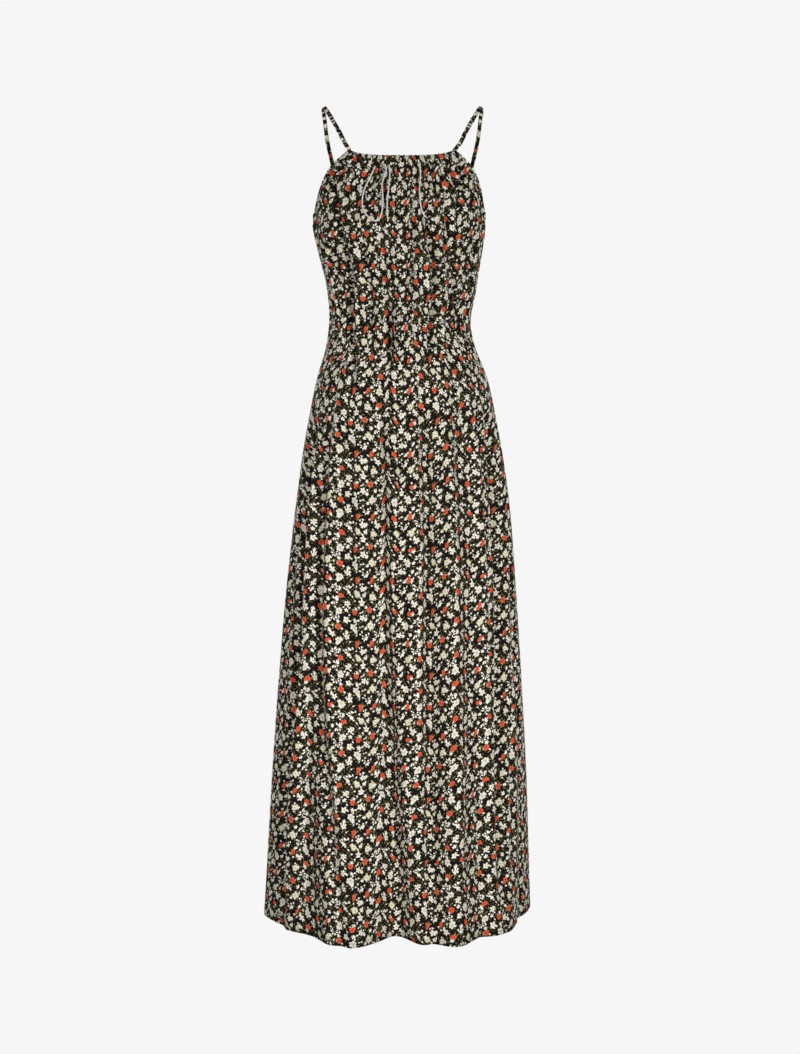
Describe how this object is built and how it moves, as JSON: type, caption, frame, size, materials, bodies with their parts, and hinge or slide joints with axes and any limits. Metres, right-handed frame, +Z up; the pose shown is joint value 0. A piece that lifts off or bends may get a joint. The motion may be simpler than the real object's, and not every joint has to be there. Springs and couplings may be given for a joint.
{
  "type": "maxi dress",
  "caption": "Sleeveless maxi dress in its worn form: spaghetti straps, gathered drawstring neck, drawn-in waist and a fluted ankle-length skirt, open at neck, armholes and hem.",
  "frame": {"origin": "midway between the tops of the two shoulder straps, at the level where they rest on the shoulders", "axes": "+Z up along the wearer, -Y the wearer's front, +X the wearer's left"},
  "size_m": [0.4644, 0.4355, 1.3755],
  "materials": {
    "printed_cloth": "matt",
    "drawstring_cord": "matt"
  },
  "bodies": {
    "root": {"front": "printed_cloth", "back": "printed_cloth", "neck_casing": "printed_cloth", "armhole_binding_left": "printed_cloth", "armhole_binding_right": "printed_cloth", "back_binding": "printed_cloth", "strap_left": "printed_cloth", "strap_right": "printed_cloth", "drawstring_loop": "drawstring_cord", "drawstring_end_left": "drawstring_cord", "drawstring_end_right": "drawstring_cord"}
  },
  "joints": []
}
